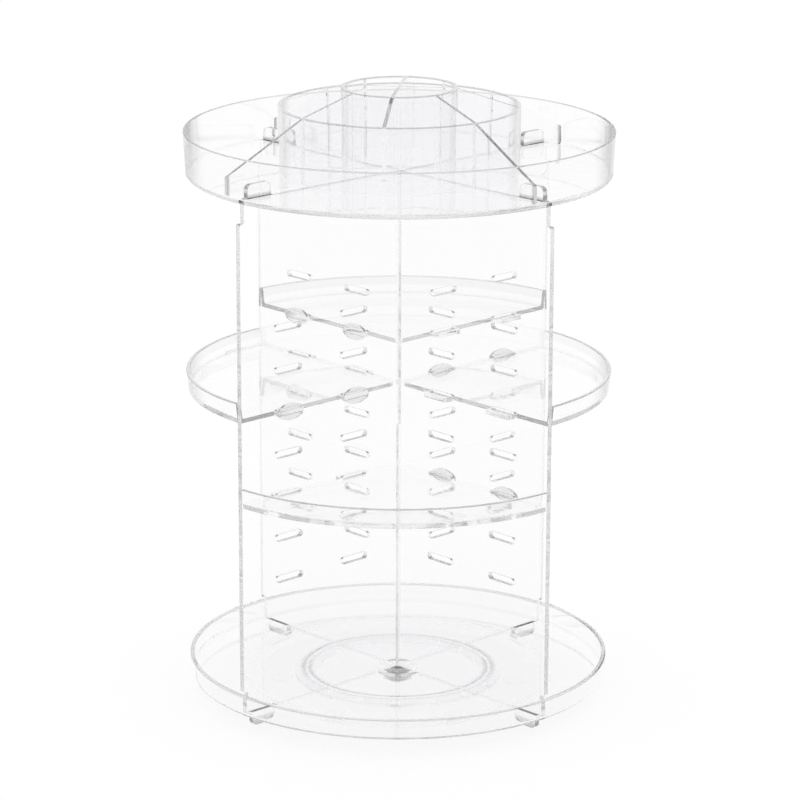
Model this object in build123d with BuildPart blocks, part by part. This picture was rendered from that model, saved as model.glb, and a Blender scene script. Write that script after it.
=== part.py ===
"""Rotating cosmetics box: clear boards, hung shelves and trays that turn on a ball race.

The origin is the centre of the footprint on the table. +Z is the axis that it turns on,
and -Y is its front. Lengths are in millimetres and angles in degrees.
"""

from build123d import *
import os
from math import cos, radians, sin, sqrt

# Film of air between two pieces where one rests on the other
rest_gap = 0.05

# Turntable
pad_count = 6
pad_radius = 6.0
pad_thickness = 2.0
pad_ring_radius = 66.0
disc_radius = 79.0
disc_thickness = 3.0
disc_edge_round = 1.0
race_radius = 52.0
ball_count = 16
ball_radius = 3.0
ball_sink = 0.75
ball_play = 0.05
cage_width = 13.0
cage_thickness = 2.0
cage_play = 0.2

# Pivot in the middle of the turntable
web_thickness = 2.5
recess_depth = 2.0
recess_radius = 10.0
disc_boss_radius = 15.0
shoulder_radius = 4.0
shoulder_play = 0.05
pivot_end_play = 0.2
washer_radius = 8.0
washer_thickness = 0.8
washer_play = 0.1
head_radius = 6.0
head_height = 1.5
head_round = 0.6
drive_length = 5.0
drive_width = 1.1
drive_depth = 0.8
thread_radius = 1.7
thread_length = 3.0
thread_play = 0.05
thread_end_play = 0.3
hub_radius = 12.0

# Base tray
base_radius = 116.0
base_height = 12.2
base_floor = 1.8
base_wall = 2.4
base_foot_round = 3.4
inner_round = 1.0
rim_round = 0.7
skirt_radius = 86.5
skirt_thickness = 2.0
skirt_height = 3.5

# Crossing boards
board_height = 280.5
board_thickness = 3.0
board_rim_inset = 0.5
board_side_gap = 1.1
board_rim_gap = 1.75
board_head_step = 10.4
shoulder_round = 1.5
lap_play = 0.15
board_turn = 45.0

# Tabs at the boards' top and bottom edges, and the slots that they go through
end_tab_width = 16.0
top_tab_reach = 10.0
base_tab_reach = 8.2
end_tab_centre = 101.2
end_tab_round = 3.0
end_slot_play = 0.4
end_slot_side_play = 1.5

# Rows of slots that the shelves hang in
row_count = 7
row_pitch = 23.25
slot_length = 19.0
slot_play = 1.6
inner_slot_centre = 34.4
outer_slot_centre = 81.9

# Shelves
shelf_thickness = 2.4
shelf_height = 11.2
shelf_radius = 116.3
shelf_draft = 1.2
shelf_wall = 2.2
shelf_foot_round = 1.2
shelf_board_gap = 0.5
shelf_tip_round = 3.0
shelf_tab_reach = 5.0
shelf_tab_round = 2.0
shelf_tab_side_play = 0.55
lip_height = 9.2
lip_thickness = 1.6
lip_gap = 0.3
shelf_seat_play = 0.03

# Top tray
top_radius = 116.5
top_draft = 1.2
top_height = 24.9
top_floor = 2.4
top_wall = 1.5
top_foot_round = 2.4

# Divider insert that stands in the top tray
insert_turn = -5.6
insert_wall = 2.0
inner_ring_radius = 31.5
inner_ring_height = 45.2
outer_ring_radius = 65.3
outer_ring_height = 35.4
arm_end_height = 10.2
arm_end_round = 1.5
arm_end_gap = 0.3

# Levels above the table
disc_base = pad_thickness + rest_gap
disc_top = disc_base + disc_thickness
ball_level = disc_top + ball_radius - ball_sink
underside = disc_top + 2 * (ball_radius - ball_sink)
floor_top = underside + base_floor
rim_top = underside + base_height
board_base = floor_top + rest_gap
board_top = board_base + board_height
tray_base = board_top + rest_gap
tray_top = tray_base + top_floor
insert_base = tray_top + rest_gap
web_base = disc_base + recess_depth
web_top = web_base + web_thickness
hub_base = web_top + pivot_end_play
washer_base = web_base - washer_play - washer_thickness

# Angle between one board or shelf and the next
quarter_turn = 90.0

# Sizes that follow from the ones above
groove_radius = ball_radius + ball_play
board_half = base_radius - board_rim_inset
board_end_half = base_radius - base_wall - board_side_gap
board_foot_step = rim_top + board_rim_gap - board_base
slot_height = shelf_thickness + slot_play
shelf_tab_width = slot_length - 2 * shelf_tab_side_play
shelf_inset = board_thickness / 2 + shelf_board_gap
lip_start = board_thickness / 2 + lip_gap
arm_end_radius = top_radius - top_draft - top_wall - arm_end_gap

# Each shelf with the direction that it faces and the row that it hangs in, from the bottom
shelf_places = {
    "front_shelf": (-90.0, 2),
    "right_shelf": (0.0, 4),
    "back_shelf": (90.0, 5),
    "left_shelf": (180.0, 4),
}


def corner(sketch, x, y):
    """The sketch's corner that lies nearest to a point."""
    return sketch.vertices().sort_by_distance((x, y, 0))[0]


def upright_plane(angle, level):
    """Plane that stands on a level, with X along a direction and Y upwards."""
    along = (cos(radians(angle)), sin(radians(angle)), 0)
    across = (sin(radians(angle)), -cos(radians(angle)), 0)
    return Plane(origin=(0, 0, level), x_dir=along, z_dir=across)


def flat_plane(angle, level):
    """Level plane with X along a direction."""
    along = (cos(radians(angle)), sin(radians(angle)), 0)
    return Plane(origin=(0, 0, level), x_dir=along, z_dir=(0, 0, 1))


def row_level(row):
    """Height of a row of slots above the table, with the rows centred on the boards."""
    return board_base + board_height / 2 + (row - (row_count - 1) / 2) * row_pitch


def tray_section(top, draft, height, floor, wall, foot_round):
    """Half section of a round tray, from its axis out to its wall."""
    foot = top - draft
    with BuildSketch(Plane.XZ) as section:
        with BuildLine():
            Polyline(
                (0, 0),
                (foot, 0),
                (top, height),
                (top - wall, height),
                (foot - wall, floor),
                (0, floor),
                close=True,
            )
        make_face()
        fillet(corner(section, foot, 0), foot_round)
        fillet(corner(section, foot - wall, floor), inner_round)
        fillet(corner(section, top, height), rim_round)
        fillet(corner(section, top - wall, height), rim_round)
    return section.sketch


def foot_pads():
    """Soft round pads under the disc, which the box stands on."""
    with BuildPart() as pads:
        with PolarLocations(pad_ring_radius, pad_count):
            Cylinder(pad_radius, pad_thickness, align=(Align.CENTER, Align.CENTER, Align.MIN))
    return pads


def turntable_disc():
    """Standing disc with the lower race, a raised middle and a recess for the screw's head."""
    with BuildPart() as disc:
        with BuildSketch(Plane.XZ) as section:
            with BuildLine():
                Polyline(
                    (shoulder_radius + shoulder_play, web_base),
                    (recess_radius, web_base),
                    (recess_radius, disc_base),
                    (disc_radius, disc_base),
                    (disc_radius, disc_top),
                    (disc_boss_radius, disc_top),
                    (disc_boss_radius, web_top),
                    (shoulder_radius + shoulder_play, web_top),
                    close=True,
                )
            make_face()
            fillet(corner(section, disc_radius, disc_top), disc_edge_round)
            with Locations((race_radius, ball_level)):
                Circle(groove_radius, mode=Mode.SUBTRACT)
        revolve(axis=Axis.Z)
    return disc


def bearing_balls():
    """Balls that carry the load between the two races."""
    with BuildPart() as balls:
        with Locations((0, 0, ball_level)):
            with PolarLocations(race_radius, ball_count):
                Sphere(ball_radius)
    return balls


def ball_cage():
    """Flat ring that keeps the balls apart."""
    with BuildPart() as cage:
        with BuildSketch(Plane.XY.offset(ball_level - cage_thickness / 2)):
            Circle(race_radius + cage_width / 2)
            Circle(race_radius - cage_width / 2, mode=Mode.SUBTRACT)
            with PolarLocations(race_radius, ball_count):
                Circle(ball_radius + cage_play, mode=Mode.SUBTRACT)
        extrude(amount=cage_thickness)
    return cage


def pivot_washer():
    """Washer that holds the disc up against the screw's head."""
    with BuildPart() as washer:
        with BuildSketch(Plane.XY.offset(washer_base)):
            Circle(washer_radius)
            Circle(shoulder_radius + shoulder_play, mode=Mode.SUBTRACT)
        extrude(amount=washer_thickness)
    return washer


def pivot_screw():
    """Shouldered screw that the disc turns on, driven into the tray's hub from below."""
    with BuildPart() as screw:
        with BuildSketch(Plane.XY.offset(washer_base - head_height)):
            Circle(head_radius)
        extrude(amount=head_height)
        fillet(screw.edges().group_by(Axis.Z)[0], head_round)
        with BuildSketch(Plane.XY.offset(washer_base - head_height)):
            Rectangle(drive_length, drive_width)
            Rectangle(drive_width, drive_length)
        extrude(amount=drive_depth, mode=Mode.SUBTRACT)
        with BuildSketch(Plane.XY.offset(washer_base)):
            Circle(shoulder_radius)
        extrude(amount=hub_base - washer_base)
        with BuildSketch(Plane.XY.offset(hub_base)):
            Circle(thread_radius)
        extrude(amount=thread_length)
    return screw


def end_tab_slots():
    """Adds the outlines of the four slots for the boards' end tabs to the sketch being made."""
    with PolarLocations(end_tab_centre, 4, start_angle=board_turn):
        Rectangle(end_tab_width + 2 * end_slot_side_play, board_thickness + 2 * end_slot_play)


def base_tray():
    """Lower tray, with the upper race, the hub and a skirt moulded under its floor."""
    section = tray_section(base_radius, 0, base_height, base_floor, base_wall, base_foot_round)
    with BuildPart() as tray:
        add(Pos(0, 0, underside) * section)
        revolve(axis=Axis.Z)
        with BuildSketch(Plane.XY.offset(hub_base)):
            Circle(hub_radius)
        extrude(amount=underside - hub_base)
        with BuildSketch(Plane.XY.offset(underside - skirt_height)):
            Circle(skirt_radius)
            Circle(skirt_radius - skirt_thickness, mode=Mode.SUBTRACT)
        extrude(amount=skirt_height)
        with BuildSketch(Plane.XY.offset(hub_base)):
            Circle(thread_radius + thread_play)
        extrude(amount=thread_length + thread_end_play, mode=Mode.SUBTRACT)
        with BuildSketch(Plane.XZ):
            with Locations((race_radius, ball_level)):
                Circle(groove_radius)
        revolve(axis=Axis.Z, mode=Mode.SUBTRACT)
        with BuildSketch(Plane.XY.offset(underside)):
            end_tab_slots()
        extrude(amount=base_floor, mode=Mode.SUBTRACT)
    return tray


def crossing_board(angle, lap_at_top):
    """Upright board across the axis, slotted to half its height to cross the other one."""
    columns = [inner_slot_centre, outer_slot_centre]
    centres = [side * column for side in (-1, 1) for column in columns]
    lap_length = board_height / 2 + lap_play
    lap_middle = board_height - lap_length / 2 if lap_at_top else lap_length / 2
    wide_height = board_height - board_foot_step - board_head_step
    with BuildPart() as board:
        with BuildSketch(upright_plane(angle, board_base)):
            with Locations((0, board_height / 2)):
                Rectangle(2 * board_end_half, board_height)
            with Locations((0, board_foot_step + wide_height / 2)):
                RectangleRounded(2 * board_half, wide_height, shoulder_round)
            for level, tab_reach in ((0, base_tab_reach), (board_height, top_tab_reach)):
                with Locations((-end_tab_centre, level), (end_tab_centre, level)):
                    RectangleRounded(end_tab_width, 2 * tab_reach, end_tab_round)
            levels = [row_level(row) - board_base for row in range(row_count)]
            with Locations([(centre, level) for centre in centres for level in levels]):
                SlotOverall(slot_length, slot_height, mode=Mode.SUBTRACT)
            with Locations((0, lap_middle)):
                Rectangle(board_thickness + 2 * lap_play, lap_length, mode=Mode.SUBTRACT)
        extrude(amount=board_thickness / 2, both=True)
    return board


def shelf_seat():
    """Depth below a slot's middle at which a tab's lower corners rest on its round ends."""
    past_flat = max(0.0, shelf_tab_width / 2 - (slot_length - slot_height) / 2)
    return sqrt((slot_height / 2) ** 2 - past_flat**2) - shelf_seat_play


def tab_outlines(side, end):
    """Adds the outlines of two tabs to the sketch, from inside the shelf out to an end."""
    length = end + shelf_inset + shelf_tab_round
    middle = side * (shelf_inset + shelf_tab_round - length / 2)
    with Locations((inner_slot_centre, middle), (outer_slot_centre, middle)):
        RectangleRounded(shelf_tab_width, length, shelf_tab_round)


def shelf(facing, row):
    """Quarter-round shelf with an upright rim, and two tabs in each board beside it.

    The tabs on one side are plain. Those on the other end in upright oval lips behind the
    board, which go through the slots while the shelf is held on edge.
    """
    base = row_level(row) - shelf_seat()
    plain_edge = facing - quarter_turn / 2
    lipped_edge = facing + quarter_turn / 2
    section = tray_section(
        shelf_radius, shelf_draft, shelf_height, shelf_thickness, shelf_wall, shelf_foot_round
    )
    with BuildPart() as plate:
        add(Pos(0, 0, base) * section)
        revolve(axis=Axis.Z)
        with BuildSketch(flat_plane(plain_edge, base)) as quarter:
            with Locations((shelf_inset, shelf_inset)):
                Rectangle(shelf_radius, shelf_radius, align=(Align.MIN, Align.MIN))
            fillet(corner(quarter, shelf_inset, shelf_inset), shelf_tip_round)
        extrude(amount=shelf_height, mode=Mode.INTERSECT)
        with BuildSketch(flat_plane(plain_edge, base)):
            tab_outlines(1, board_thickness / 2 + shelf_tab_reach)
        extrude(amount=shelf_thickness)
        with BuildSketch(flat_plane(lipped_edge, base)):
            tab_outlines(-1, lip_start + lip_thickness)
        extrude(amount=shelf_thickness)
        with BuildSketch(upright_plane(lipped_edge, row_level(row)).offset(-lip_start)):
            with Locations((inner_slot_centre, 0), (outer_slot_centre, 0)):
                Ellipse(shelf_tab_width / 2, lip_height / 2)
        extrude(amount=-lip_thickness)
    return plate


def top_tray():
    """Upper tray, which drops over the boards' upper tabs."""
    section = tray_section(top_radius, top_draft, top_height, top_floor, top_wall, top_foot_round)
    with BuildPart() as tray:
        add(Pos(0, 0, tray_base) * section)
        revolve(axis=Axis.Z)
        with BuildSketch(Plane.XY.offset(tray_base)):
            end_tab_slots()
        extrude(amount=top_floor, mode=Mode.SUBTRACT)
    return tray


def divider_insert():
    """Two rings joined by a cross inside them and four long arms out to the tray's wall."""
    inner_middle = inner_ring_radius - insert_wall / 2
    outer_middle = outer_ring_radius - insert_wall / 2
    rings = ((inner_ring_radius, inner_ring_height), (outer_ring_radius, outer_ring_height))
    with BuildPart() as insert:
        for radius, height in rings:
            with BuildSketch(Plane.XY.offset(insert_base)):
                Circle(radius)
                Circle(radius - insert_wall, mode=Mode.SUBTRACT)
            extrude(amount=height)
        for half in range(2):
            with BuildSketch(upright_plane(insert_turn + half * quarter_turn, insert_base)):
                with BuildLine():
                    Polyline(
                        (-outer_middle, 0),
                        (outer_middle, 0),
                        (outer_middle, outer_ring_height),
                        (inner_middle, inner_ring_height),
                        (-inner_middle, inner_ring_height),
                        (-outer_middle, outer_ring_height),
                        close=True,
                    )
                make_face()
            extrude(amount=insert_wall / 2, both=True)
        for arm in range(4):
            arm_turn = insert_turn + quarter_turn / 2 + arm * quarter_turn
            with BuildSketch(upright_plane(arm_turn, insert_base)) as outline:
                with BuildLine():
                    Polyline(
                        (inner_middle, 0),
                        (arm_end_radius, 0),
                        (arm_end_radius, arm_end_height),
                        (outer_middle, outer_ring_height),
                        (inner_middle, inner_ring_height),
                        close=True,
                    )
                make_face()
                fillet(corner(outline, arm_end_radius, 0), arm_end_round)
                fillet(corner(outline, arm_end_radius, arm_end_height), arm_end_round)
            extrude(amount=insert_wall / 2, both=True)
    return insert


pieces = {
    "foot_pads": foot_pads(),
    "turntable_disc": turntable_disc(),
    "bearing_balls": bearing_balls(),
    "ball_cage": ball_cage(),
    "pivot_washer": pivot_washer(),
    "pivot_screw": pivot_screw(),
    "base_tray": base_tray(),
    "left_to_right_board": crossing_board(board_turn, True),
    "right_to_left_board": crossing_board(board_turn + quarter_turn, False),
    "top_tray": top_tray(),
    "divider_insert": divider_insert(),
}
for shelf_name, (facing, row) in shelf_places.items():
    pieces[shelf_name] = shelf(facing, row)

os.makedirs("parts", exist_ok=True)
for name, piece in pieces.items():
    piece.part.label = name
    export_step(piece.part, f"parts/{name}.step")
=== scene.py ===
"""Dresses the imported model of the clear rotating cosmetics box, and sets up its camera and stage.

Lengths are in metres in the CAD model's own frame: +Z is the axis that the box turns on, and
-Y is its front.
"""

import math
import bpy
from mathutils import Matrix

bl_info = {
    "name": "Clear cosmetics carousel",
    "version": (1, 0, 0),
    "blender": (4, 5, 0),
    "location": "3D View > Sidebar > Carousel",
    "description": "Clear plastic finishes and a white studio",
    "category": "Object",
}

import bpy
from bpy.props import FloatProperty, FloatVectorProperty, PointerProperty
from mathutils import Matrix

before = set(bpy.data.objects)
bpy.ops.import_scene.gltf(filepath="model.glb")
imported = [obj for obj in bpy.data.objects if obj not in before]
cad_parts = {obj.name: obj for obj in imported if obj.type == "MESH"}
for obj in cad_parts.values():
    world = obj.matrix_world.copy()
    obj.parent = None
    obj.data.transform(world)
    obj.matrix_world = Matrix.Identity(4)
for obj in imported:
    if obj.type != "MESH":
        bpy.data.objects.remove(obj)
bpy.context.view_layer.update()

# Each moulding's own places of painted shade: rims above a level, bands of the round walls under
# them (from one level to another, beyond a radius), slots' walls below a level, ends beyond a
# radius, round walls seen edge-on and a shelf's straight edges, for which the direction that it
# faces is given
MOULDINGS = {
    "base_tray": {
        "rim_level": 0.016,
        "rim_top_shade_share": 0.2,
        "rim_bands": ((0.0206, 0.0222, 0.0),),
        "slot_top": 0.01135,
    },
    "top_tray": {
        "rim_level": 0.3,
        "rim_top_shade_share": 0.5,
        "rim_bands": ((0.3161, 0.3175, 0.0),),
        "shade_share": 0.75,
        "slot_top": 0.29435,
    },
    "divider_insert": {
        "rim_level": 0.295,
        "rim_top_shade_share": 0.85,
        "rim_bands": ((0.329, 0.3302, 0.05), (0.3388, 0.34, 0.0)),
        "shade_share": 0.5,
        "end_start": 0.1118,
    },
    "front_shelf": {
        "rim_level": 0.133,
        "rim_top_shade_share": 0.8,
        "shade_share": 0.5,
        "front": (0.0, -1.0, 0.0),
    },
    "right_shelf": {
        "rim_level": 0.1795,
        "rim_top_shade_share": 0.6,
        "shade_share": 0.5,
        "front": (1.0, 0.0, 0.0),
    },
    "back_shelf": {
        "rim_level": 0.2028,
        "rim_top_shade_share": 0.6,
        "shade_share": 0.5,
        "front": (0.0, 1.0, 0.0),
    },
    "left_shelf": {
        "rim_level": 0.1795,
        "rim_top_shade_share": 0.6,
        "shade_share": 0.5,
        "front": (-1.0, 0.0, 0.0),
    },
}

# Radii between which the slots in the trays' floors lie
SLOT_START = 0.0915
SLOT_END = 0.1112

# Levels between which the boards' tabs stand under the base tray and in the top tray's floor
TAB_LEVELS = ((0.0, 0.0055), (0.2917, 0.2955))

# Radii between which the ball race lies, and the level of its top
RACE_START = 0.0485
RACE_END = 0.0555
RACE_TOP = 0.0095

# Lengths over which a place of painted shade, or the rougher race, comes in or ends
SHARP = 0.0001
BAND_FADE = 0.0002
RACE_FADE = 0.0003
RIM_FADE = 0.0005
TAB_FADE_LOW = 0.0003
TAB_FADE_HIGH = 0.001

# Cosines of the angle between a face and a direction, between which the face comes to count as
# facing that way: through a board, out from the axis (a round wall), up (a rim), up or down (the
# floor around a slot, a shelf's level faces) and again out from the axis (a shelf's round edge)
BOARD_FACE = (0.5, 0.9)
ROUND_WALL = (0.7, 0.95)
RIM_TOP = (0.05, 0.3)
SLOT_FLOOR = (0.1, 0.3)
LEVEL_FACE = (0.3, 0.6)
ROUND_EDGE = (0.3, 0.6)

# Cosines of the angle about the axis between a place and the way that a shelf faces, over which
# the shelf's lips and its straight edges begin. The lips are behind the boards.
LIP_ANGLES = (0.5, 0.6)
EDGE_ANGLES = (0.7, 0.712)
LIP_SHARE = 0.3

# Grazing views over which a round wall turns dark
EDGE_ON = (0.58, 0.88)

# Noise patterns per metre
SHEET_HAZE_SCALE = 14
SHEET_RIPPLE_SCALE = 22
SHEET_GRAIN_SCALE = 900
MOULDING_HAZE_SCALE = 18
FLOW_SCALE = 60
STEEL_GRAIN_SCALE = 200

# Scaling of the place for the flow lines. Its small upward part draws them out upright.
FLOW_STRETCH = (1, 1, 0.08)

# Colours of light that has passed through the haziest places
SHEET_HAZE_TINT = (0.98, 0.98, 0.984)
MOULDING_HAZE_TINT = (0.978, 0.978, 0.982)

# Roughness that haze and grain add
SHEET_HAZE_ROUGHNESS = 0.015
MOULDING_HAZE_ROUGHNESS = 0.02
STEEL_GRAIN_ROUGHNESS = 0.1

# Strength and height of the unevenness of each finish
SHEET_BUMP = (0.12, 0.0004)
MOULDING_BUMP = (0.1, 0.0005)
STEEL_BUMP = (0.4, 0.00005)

# Colour of the steel, its colour in the darkest grain as a share of that, and how metallic it is
STEEL_COLOUR = (0.93, 0.93, 0.935)
STEEL_GRAIN_SHADE = 0.9
STEEL_METALLIC = 0.3

# Heights in the studio, as the upward part of a direction, over which the less bright ring
# begins and ends
RING_BEGINS = (0.5, 0.6)
RING_ENDS = (0.9, 0.95)

# The floor lies just under the pads, so that their faces don't coincide
FLOOR_LEVEL = -0.0003

SENSOR_WIDTH = 36


class PlasticSettings(bpy.types.PropertyGroup):
    """Looks of the clear sheet and of the clear mouldings."""

    sheet_tint: FloatVectorProperty(
        name="Sheet tint",
        description="Colour of light that has passed through a board",
        subtype="COLOR",
        size=3,
        min=0,
        max=1,
        default=(0.992, 0.992, 0.995),
    )
    moulding_tint: FloatVectorProperty(
        name="Moulding tint",
        description="Colour of light that has passed through a moulded wall",
        subtype="COLOR",
        size=3,
        min=0,
        max=1,
        default=(0.989, 0.989, 0.991),
    )
    # Painted shade: the boards' tabs are drawn darker where they stand in the trays' floors
    painted_tab_shade: FloatVectorProperty(
        name="Painted tab shade",
        description="Colour of the boards' tabs where they stand in the trays' floors",
        subtype="COLOR",
        size=3,
        min=0,
        max=1,
        default=(0.6, 0.6, 0.605),
    )
    # Painted shade: the boards' sawn edges are really rougher, and their darker colour is painted
    painted_board_edge_shade: FloatVectorProperty(
        name="Painted board edge shade",
        description="Colour of the sawn edges of the boards and of the slots in them",
        subtype="COLOR",
        size=3,
        min=0,
        max=1,
        default=(0.97, 0.97, 0.975),
    )
    ior: FloatProperty(
        name="Bending of light",
        description="Index of refraction of the clear plastic",
        min=1,
        max=2,
        default=1.49,
    )
    turntable_ior: FloatProperty(
        name="Turntable's bending of light",
        description="Index of refraction of the parts under the base tray, which hardly show",
        min=1,
        max=2,
        default=1.05,
    )
    polish: FloatProperty(
        name="Polish",
        description="Roughness of the cleanest places",
        subtype="FACTOR",
        min=0,
        max=1,
        default=0.012,
    )
    # Painted shade: dark lines drawn on the shelves' straight edges and lips, and on the arms' ends
    painted_edge_line_shade: FloatVectorProperty(
        name="Painted edge line shade",
        description="Colour of the shelves' straight edges and lips, and of the arms' ends",
        subtype="COLOR",
        size=3,
        min=0,
        max=1,
        default=(0.45, 0.45, 0.455),
    )
    edge_roughness: FloatProperty(
        name="Edge roughness",
        description="Roughness that the boards' sawn edges have over their faces",
        subtype="FACTOR",
        min=0,
        max=1,
        default=0.22,
    )
    race_roughness: FloatProperty(
        name="Race roughness",
        description="Roughness that the ball race has over the faces beside it",
        subtype="FACTOR",
        min=0,
        max=1,
        default=0.45,
    )
    depth_colour: FloatVectorProperty(
        name="Depth colour",
        description="Colour that a long way through the plastic takes on",
        subtype="COLOR",
        size=3,
        min=0,
        max=1,
        default=(0.69, 0.69, 0.71),
    )
    depth_density: FloatProperty(
        name="Depth density",
        description="Share of light that a metre of plastic takes, as an exponent",
        min=0,
        default=1.5,
    )
    rim_shade: FloatVectorProperty(
        name="Rim shade",
        description="Colour of a wall that is seen edge-on",
        subtype="COLOR",
        size=3,
        min=0,
        max=1,
        default=(0.2, 0.2, 0.203),
    )
    # Painted shade: the mouldings' upper edges are drawn darker
    painted_rim_top_shade: FloatVectorProperty(
        name="Painted rim top shade",
        description="Colour of the upper edges of the mouldings",
        subtype="COLOR",
        size=3,
        min=0,
        max=1,
        default=(0.48, 0.48, 0.485),
    )
    # Painted shade: bands of the round walls just under their upper edges are drawn darker
    painted_band_shade: FloatVectorProperty(
        name="Painted band shade",
        description="Colour of the round walls just under their upper edges",
        subtype="COLOR",
        size=3,
        min=0,
        max=1,
        default=(0.58, 0.58, 0.585),
    )
    # Painted shade: the walls of the slots in the trays' floors are drawn dark
    painted_slot_shade: FloatVectorProperty(
        name="Painted slot shade",
        description="Colour of the walls of the slots in the trays' floors",
        subtype="COLOR",
        size=3,
        min=0,
        max=1,
        default=(0.3, 0.3, 0.305),
    )
    lamp_share: FloatVectorProperty(
        name="Lamp share",
        description="Colour of a lamp's light behind one surface of the plastic",
        subtype="COLOR",
        size=3,
        min=0,
        max=1,
        default=(0.98, 0.98, 0.982),
    )


class StageSettings(bpy.types.PropertyGroup):
    """Camera, floor and light."""

    camera_place: FloatVectorProperty(
        name="Camera place",
        description="Where the camera stands",
        subtype="TRANSLATION",
        unit="LENGTH",
        size=3,
        default=(0.0498, -1.9017, 0.6959),
    )
    camera_tilt: FloatProperty(
        name="Camera tilt",
        description="Angle between straight down and the camera's view",
        subtype="ANGLE",
        default=math.radians(74.40),
    )
    camera_turn: FloatProperty(
        name="Camera turn",
        description="Turn of the camera's view about the upright axis",
        subtype="ANGLE",
        default=math.radians(1.50),
    )
    camera_roll: FloatProperty(
        name="Camera roll",
        description="Turn of the camera about its own view",
        subtype="ANGLE",
        default=math.radians(0.156),
    )
    lens: FloatProperty(
        name="Lens",
        description="Focal length on a sensor 36 mm wide",
        unit="CAMERA",
        default=161.87,
    )
    lens_shift: FloatVectorProperty(
        name="Lens shift",
        description="Shift of the picture to the side and upward, as a share of its width",
        size=2,
        default=(0.0017, 0.0006),
    )
    floor_size: FloatProperty(
        name="Floor size",
        description="Side of the square floor",
        unit="LENGTH",
        min=0.5,
        default=30.0,
    )
    floor_colour: FloatVectorProperty(
        name="Floor colour",
        description="Colour of the table under the box",
        subtype="COLOR",
        size=3,
        min=0,
        max=1,
        default=(0.97, 0.97, 0.97),
    )
    soft_light: FloatProperty(
        name="Soft light",
        description="Strength of the light from all sides",
        min=0,
        default=1.0,
    )
    band_light: FloatProperty(
        name="Band's light",
        description="Strength of the ring of less bright wall high up in the studio",
        min=0,
        default=0.25,
    )
    table_light: FloatProperty(
        name="Table's light",
        description="Strength of the light that the table itself gives",
        min=0,
        default=1.02,
    )
    table_share: FloatProperty(
        name="Table's share of light",
        description="Share of its own light in what is seen of the table",
        subtype="FACTOR",
        min=0,
        max=1,
        default=0.86,
    )


class Term:
    """A node's output that works in arithmetic. Each operation adds its Math node."""

    def __init__(self, recipe, socket):
        self.recipe = recipe
        self.socket = socket

    def __add__(self, other):
        return self.recipe.maths("ADD", self, other)

    def __radd__(self, other):
        return self.recipe.maths("ADD", other, self)

    def __sub__(self, other):
        return self.recipe.maths("SUBTRACT", self, other)

    def __rsub__(self, other):
        return self.recipe.maths("SUBTRACT", other, self)

    def __mul__(self, other):
        return self.recipe.maths("MULTIPLY", self, other)

    def __rmul__(self, other):
        return self.recipe.maths("MULTIPLY", other, self)

    def __abs__(self):
        return self.recipe.maths("ABSOLUTE", self)


class Recipe:
    """The nodes of one material or world."""

    def __init__(self, tree):
        self.tree = tree
        tree.nodes.clear()

    def node(self, kind, settings=None, sockets=None, out=0):
        """Adds a node, sets it up, fills its sockets with values or links, and gives an output."""
        made = self.tree.nodes.new(kind)
        for name, value in (settings or {}).items():
            setattr(made, name, value)
        for name, value in (sockets or {}).items():
            if isinstance(value, Term):
                self.tree.links.new(value.socket, made.inputs[name])
            else:
                made.inputs[name].default_value = value
        return Term(self, made.outputs[out]) if made.outputs else made

    def maths(self, operation, *values):
        return self.node("ShaderNodeMath", {"operation": operation}, dict(enumerate(values)))

    def vector(self, operation, *values, out="Vector"):
        settings = {"operation": operation}
        return self.node("ShaderNodeVectorMath", settings, dict(enumerate(values)), out)

    def dot(self, first, second):
        return self.vector("DOT_PRODUCT", first, second, out="Value")

    def ray(self, kind):
        """1 for rays of a kind and 0 for the others."""
        return self.node("ShaderNodeLightPath", out=f"Is {kind} Ray")

    def step(self, value, start, end):
        """0 before start and 1 after end, with a smooth way between them."""
        return self.node(
            "ShaderNodeMapRange",
            {"interpolation_type": "SMOOTHSTEP"},
            {"Value": value, "From Min": start, "From Max": end},
        )

    def between(self, value, low, high, fade):
        """1 from low to high and 0 outside, with a fade that begins at either."""
        begins = self.step(value, low, low + fade)
        return begins * (1 - self.step(value, high, high + fade))

    def below(self, value, level, fade):
        """1 under a level and 0 over the fade above it."""
        return 1 - self.step(value, level, level + fade)

    def mix(self, share, first, second):
        """Colour that goes from the first to the second."""
        settings = {"data_type": "RGBA"}
        return self.node("ShaderNodeMix", settings, {0: share, 6: first, 7: second}, out=2)

    def noise(self, place, scale, detail):
        values = {"Vector": place, "Scale": scale, "Detail": detail}
        return self.node("ShaderNodeTexNoise", None, values)

    def bump(self, height, strength, distance):
        values = {"Strength": strength, "Distance": distance, "Height": height}
        return self.node("ShaderNodeBump", None, values)


def opaque(colour):
    """A colour with the fourth number that a socket wants."""
    return (*colour, 1.0)


def new_material(name):
    material = bpy.data.materials.new(name)
    material.use_nodes = True
    return material, Recipe(material.node_tree)


def clear_shader(recipe, plastic, ior, colour, roughness, normal):
    """Clear plastic that bends light, and lets the light of lamps straight through."""
    body = recipe.node(
        "ShaderNodeBsdfPrincipled",
        None,
        {
            "Base Color": colour,
            "Roughness": roughness,
            "IOR": ior,
            "Transmission Weight": 1.0,
            "Normal": normal,
        },
    )
    open_way = recipe.node(
        "ShaderNodeBsdfTransparent", None, {"Color": opaque(plastic.lamp_share)}
    )
    shader = recipe.node(
        "ShaderNodeMixShader", None, {0: recipe.ray("Shadow"), 1: body, 2: open_way}
    )
    depth = recipe.node(
        "ShaderNodeVolumeAbsorption",
        None,
        {"Color": opaque(plastic.depth_colour), "Density": plastic.depth_density},
    )
    recipe.node("ShaderNodeOutputMaterial", None, {"Surface": shader, "Volume": depth})


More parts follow.
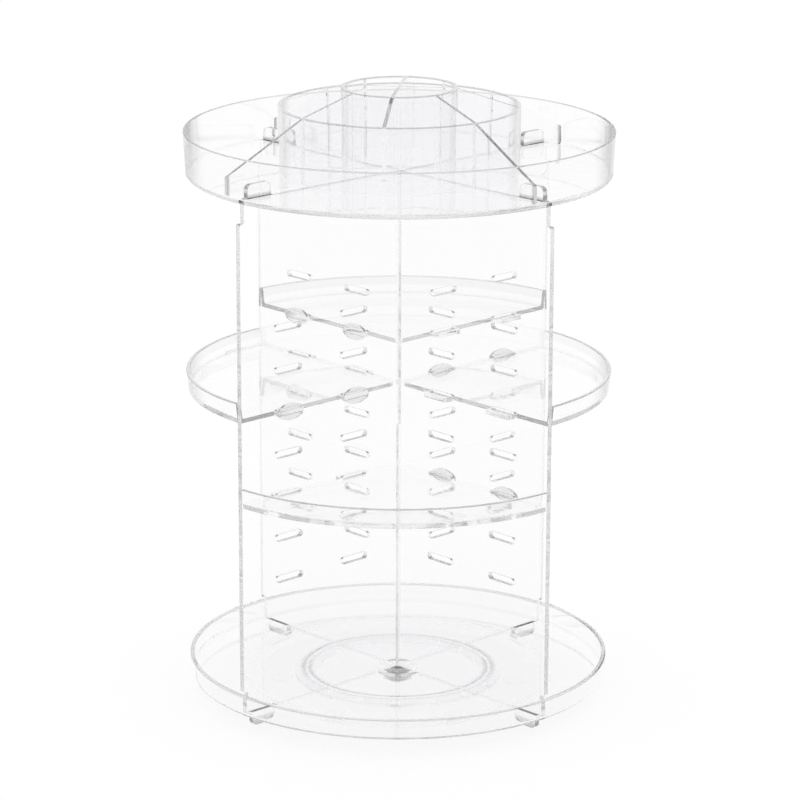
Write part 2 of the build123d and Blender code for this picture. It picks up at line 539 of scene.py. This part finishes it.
def board_material(plastic, name, across):
    """Polished sheet with sawn edges, and painted shade on its edges and tabs. Across is the level
    direction through its thickness.
    """
    material, recipe = new_material(name)
    place = recipe.node("ShaderNodeTexCoord", out="Object")
    facing = recipe.node("ShaderNodeTexCoord", out="Normal")
    height = recipe.dot(place, (0.0, 0.0, 1.0))
    edge = 1 - recipe.step(abs(recipe.dot(facing, across)), *BOARD_FACE)
    haze = recipe.noise(place, SHEET_HAZE_SCALE, 3)
    colour = recipe.mix(haze, opaque(plastic.sheet_tint), opaque(SHEET_HAZE_TINT))
    # Painted shade: the sawn edges are drawn a little darker, while their roughness below is their
    # own
    colour = recipe.mix(edge, colour, opaque(plastic.painted_board_edge_shade))
    # Painted shade on the tabs where they stand under the base tray and in the top tray's floor
    for low, high in TAB_LEVELS:
        tab = recipe.step(height, low - TAB_FADE_LOW, low)
        tab = tab * recipe.below(height, high, TAB_FADE_HIGH)
        colour = recipe.mix(tab, colour, opaque(plastic.painted_tab_shade))

    # A fine grain makes the edges' roughness uneven, by up to a fifth either way
    grain = 0.8 + 0.4 * recipe.noise(place, SHEET_GRAIN_SCALE, 2)
    roughness = plastic.polish + SHEET_HAZE_ROUGHNESS * haze
    roughness = roughness + plastic.edge_roughness * edge * grain

    ripple = recipe.noise(place, SHEET_RIPPLE_SCALE, 1) * (1 - edge)
    normal = recipe.bump(ripple, *SHEET_BUMP)
    clear_shader(recipe, plastic, plastic.ior, colour, roughness, normal)
    return material


def moulding_material(
    plastic,
    name,
    ior,
    rim_level=1.0,
    rim_top_shade_share=1.0,
    rim_bands=(),
    shade_share=0.0,
    slot_top=0.0,
    end_start=1.0,
    front=(0.0, 0.0, 0.0),
):
    """Glossy moulded plastic with the faint flow lines of its mould, and painted shade in places.

    The defaults leave the painted shade out.
    """
    material, recipe = new_material(name)
    place = recipe.node("ShaderNodeTexCoord", out="Object")
    facing = recipe.node("ShaderNodeTexCoord", out="Normal")
    flat_place = recipe.vector("MULTIPLY", place, (1.0, 1.0, 0.0))
    outward = recipe.vector("NORMALIZE", flat_place)
    radius = recipe.vector("LENGTH", flat_place, out="Value")
    height = recipe.dot(place, (0.0, 0.0, 1.0))
    upward = recipe.dot(facing, (0.0, 0.0, 1.0))
    roundness = abs(recipe.dot(facing, outward))
    round_wall = recipe.step(roundness, *ROUND_WALL)

    haze = recipe.noise(place, MOULDING_HAZE_SCALE, 3)
    colour = recipe.mix(haze, opaque(plastic.moulding_tint), opaque(MOULDING_HAZE_TINT))

    # Painted shade: round walls seen edge-on, and the upper edges with the bands under them, are
    # drawn darker
    grazing = recipe.node("ShaderNodeLayerWeight", None, {"Blend": 0.5}, out="Facing")
    shade = shade_share * recipe.step(grazing, *EDGE_ON) * round_wall
    colour = recipe.mix(shade, colour, opaque(plastic.rim_shade))
    rim = recipe.step(upward, *RIM_TOP) * recipe.step(height, rim_level, rim_level + RIM_FADE)
    colour = recipe.mix(rim_top_shade_share * rim, colour, opaque(plastic.painted_rim_top_shade))
    # Painted shade on bands of the round walls under their upper edges
    for low, high, start in rim_bands:
        band = recipe.between(height, low, high, BAND_FADE)
        band = band * round_wall * recipe.step(radius, start, start + SHARP)
        colour = recipe.mix(band, colour, opaque(plastic.painted_band_shade))

    # Painted shade on the walls of the slots for the boards' tabs
    in_slot = recipe.between(radius, SLOT_START, SLOT_END, SHARP)
    in_slot = in_slot * (1 - recipe.step(abs(upward), *SLOT_FLOOR))
    in_slot = in_slot * recipe.below(height, slot_top, SHARP)
    colour = recipe.mix(in_slot, colour, opaque(plastic.painted_slot_shade))

    # Painted shade on a shelf's straight edges and lips, and on the ends of the divider's arms
    upright = 1 - recipe.step(abs(upward), *LEVEL_FACE)
    towards = recipe.dot(outward, front)
    edge_share = LIP_SHARE + (1 - LIP_SHARE) * recipe.step(towards, *EDGE_ANGLES)
    inside = recipe.step(towards, *LIP_ANGLES) * edge_share
    cut = inside * upright * (1 - recipe.step(roundness, *ROUND_EDGE))
    ending = recipe.step(radius, end_start, end_start + SHARP)
    dark_edge = recipe.maths("MAXIMUM", cut, ending)
    colour = recipe.mix(dark_edge, colour, opaque(plastic.painted_edge_line_shade))

    in_race = recipe.between(radius, RACE_START, RACE_END, RACE_FADE)
    in_race = in_race * recipe.below(height, RACE_TOP, SHARP)
    roughness = plastic.polish + MOULDING_HAZE_ROUGHNESS * haze
    roughness = roughness + plastic.race_roughness * in_race

    stretched = recipe.node(
        "ShaderNodeMapping", None, {"Vector": place, "Scale": FLOW_STRETCH}
    )
    normal = recipe.bump(recipe.noise(stretched, FLOW_SCALE, 2), *MOULDING_BUMP)
    clear_shader(recipe, plastic, ior, colour, roughness, normal)
    return material


def steel_material(name, roughness):
    """Pale steel with a fine grain."""
    material, recipe = new_material(name)
    place = recipe.node("ShaderNodeTexCoord", out="Object")
    grain = recipe.noise(place, STEEL_GRAIN_SCALE, 3)
    darker = tuple(STEEL_GRAIN_SHADE * part for part in STEEL_COLOUR)
    body = recipe.node(
        "ShaderNodeBsdfPrincipled",
        None,
        {
            "Base Color": recipe.mix(grain, opaque(STEEL_COLOUR), opaque(darker)),
            "Roughness": roughness + STEEL_GRAIN_ROUGHNESS * grain,
            "Metallic": STEEL_METALLIC,
            "Normal": recipe.bump(grain, *STEEL_BUMP),
        },
    )
    recipe.node("ShaderNodeOutputMaterial", None, {"Surface": body})
    return material


def dress(node, material):
    """Puts a finish on a CAD node."""
    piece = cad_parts[node]
    piece.material_slots[0].material = material


def level_direction(degrees):
    return (math.cos(math.radians(degrees)), math.sin(math.radians(degrees)), 0.0)


class CAROUSEL_OT_boards(bpy.types.Operator):
    """Finishes the two crossing boards as clear sheet with polished edges"""

    bl_idname = "carousel.boards"
    bl_label = "Crossing boards"

    def execute(self, context):
        plastic = context.scene.carousel_plastic
        for node, turn in (("left_to_right_board", -45), ("right_to_left_board", 45)):
            dress(node, board_material(plastic, f"clear_{node}", level_direction(turn)))
        return {"FINISHED"}


class CAROUSEL_OT_mouldings(bpy.types.Operator):
    """Finishes the trays, the shelves and the divider as clear mouldings"""

    bl_idname = "carousel.mouldings"
    bl_label = "Trays, shelves and divider"

    def execute(self, context):
        plastic = context.scene.carousel_plastic
        for node, darker in MOULDINGS.items():
            dress(node, moulding_material(plastic, f"clear_{node}", plastic.ior, **darker))
        return {"FINISHED"}


class CAROUSEL_OT_turntable(bpy.types.Operator):
    """Finishes the standing disc, the ball race, the pivot and the pads"""

    bl_idname = "carousel.turntable"
    bl_label = "Turntable"

    def execute(self, context):
        plastic = context.scene.carousel_plastic
        for node in ("turntable_disc", "bearing_balls", "ball_cage", "foot_pads"):
            dress(node, moulding_material(plastic, f"clear_{node}", plastic.turntable_ior))
        dress("pivot_washer", steel_material("washer_steel", roughness=0.5))
        dress("pivot_screw", steel_material("screw_steel", roughness=0.45))
        return {"FINISHED"}


class CAROUSEL_OT_stage(bpy.types.Operator):
    """Makes the floor, the light and the camera"""

    bl_idname = "carousel.stage"
    bl_label = "Camera and studio"

    def execute(self, context):
        stage = context.scene.carousel_stage
        self.floor(stage)
        self.light(context, stage)
        self.camera(context, stage)
        scene = context.scene
        scene.view_settings.view_transform = "Standard"

        # Light may pass many surfaces of clear plastic before it reaches the studio's wall
        scene.cycles.max_bounces = 256
        scene.cycles.glossy_bounces = 192
        scene.cycles.transmission_bounces = 192
        scene.cycles.transparent_max_bounces = 64
        return {"FINISHED"}

    def floor(self, stage):
        """A white table that glows when it is seen, and takes a faint shadow."""
        bpy.ops.object.select_all(action="DESELECT")
        bpy.ops.mesh.primitive_plane_add(size=stage.floor_size, location=(0, 0, FLOOR_LEVEL))
        floor = bpy.context.object
        floor.name = "floor"
        material, recipe = new_material("white_table")
        seen = recipe.maths("MAXIMUM", recipe.ray("Camera"), recipe.ray("Glossy"))
        seen = recipe.maths("MAXIMUM", seen, recipe.ray("Transmission"))
        matt = recipe.node(
            "ShaderNodeBsdfDiffuse", None, {"Color": opaque(stage.floor_colour)}
        )
        white = recipe.node(
            "ShaderNodeEmission", None, {"Color": (1, 1, 1, 1), "Strength": stage.table_light}
        )
        shader = recipe.node(
            "ShaderNodeMixShader", None, {0: seen * stage.table_share, 1: matt, 2: white}
        )
        recipe.node("ShaderNodeOutputMaterial", None, {"Surface": shader})
        floor.data.materials.append(material)

    def light(self, context, stage):
        """A white studio whose less bright ring shows only through and in the plastic."""
        world = bpy.data.worlds.new("white_studio")
        world.use_nodes = True
        context.scene.world = world
        recipe = Recipe(world.node_tree)
        direction = recipe.node("ShaderNodeTexCoord", out="Generated")
        up = recipe.node("ShaderNodeSeparateXYZ", None, {0: direction}, out="Z")
        ring = recipe.step(up, *RING_BEGINS) * (1 - recipe.step(up, *RING_ENDS))
        camera = recipe.ray("Camera")
        diffuse = recipe.ray("Diffuse")
        studio = 1 - (1 - stage.band_light) * ring
        strength = studio * (1 - diffuse) + stage.soft_light * diffuse
        strength = strength * (1 - camera) + camera
        white = recipe.node(
            "ShaderNodeBackground", None, {"Color": (1, 1, 1, 1), "Strength": strength}
        )
        recipe.node("ShaderNodeOutputWorld", None, {"Surface": white})

    def camera(self, context, stage):
        data = bpy.data.cameras.new("camera")
        data.sensor_width = SENSOR_WIDTH
        data.lens = stage.lens
        data.shift_x, data.shift_y = stage.lens_shift
        data.clip_start = 0.05
        data.clip_end = 100
        camera = bpy.data.objects.new("camera", data)
        context.scene.collection.objects.link(camera)
        turn = Matrix.Rotation(stage.camera_turn, 4, "Z")
        tilt = Matrix.Rotation(stage.camera_tilt, 4, "X")
        roll = Matrix.Rotation(stage.camera_roll, 4, "Z")
        camera.matrix_world = Matrix.Translation(stage.camera_place) @ turn @ tilt @ roll
        context.scene.camera = camera


class CAROUSEL_PT_panel(bpy.types.Panel):
    """Lists the steps that dress the carousel"""

    bl_label = "Clear cosmetics carousel"
    bl_idname = "CAROUSEL_PT_panel"
    bl_space_type = "VIEW_3D"
    bl_region_type = "UI"
    bl_category = "Carousel"

    def draw(self, context):
        for step in STEPS:
            self.layout.operator(step.bl_idname)


SETTINGS = (PlasticSettings, StageSettings)
STEPS = (
    CAROUSEL_OT_boards,
    CAROUSEL_OT_mouldings,
    CAROUSEL_OT_turntable,
    CAROUSEL_OT_stage,
)


def register():
    for part in (*SETTINGS, *STEPS, CAROUSEL_PT_panel):
        bpy.utils.register_class(part)
    bpy.types.Scene.carousel_plastic = PointerProperty(type=PlasticSettings)
    bpy.types.Scene.carousel_stage = PointerProperty(type=StageSettings)


def unregister():
    del bpy.types.Scene.carousel_stage
    del bpy.types.Scene.carousel_plastic
    for part in reversed((*SETTINGS, *STEPS, CAROUSEL_PT_panel)):
        bpy.utils.unregister_class(part)


def main():
    register()
    bpy.ops.carousel.boards()
    bpy.ops.carousel.mouldings()
    bpy.ops.carousel.turntable()
    bpy.ops.carousel.stage()


if __name__ == "__main__":
    main()
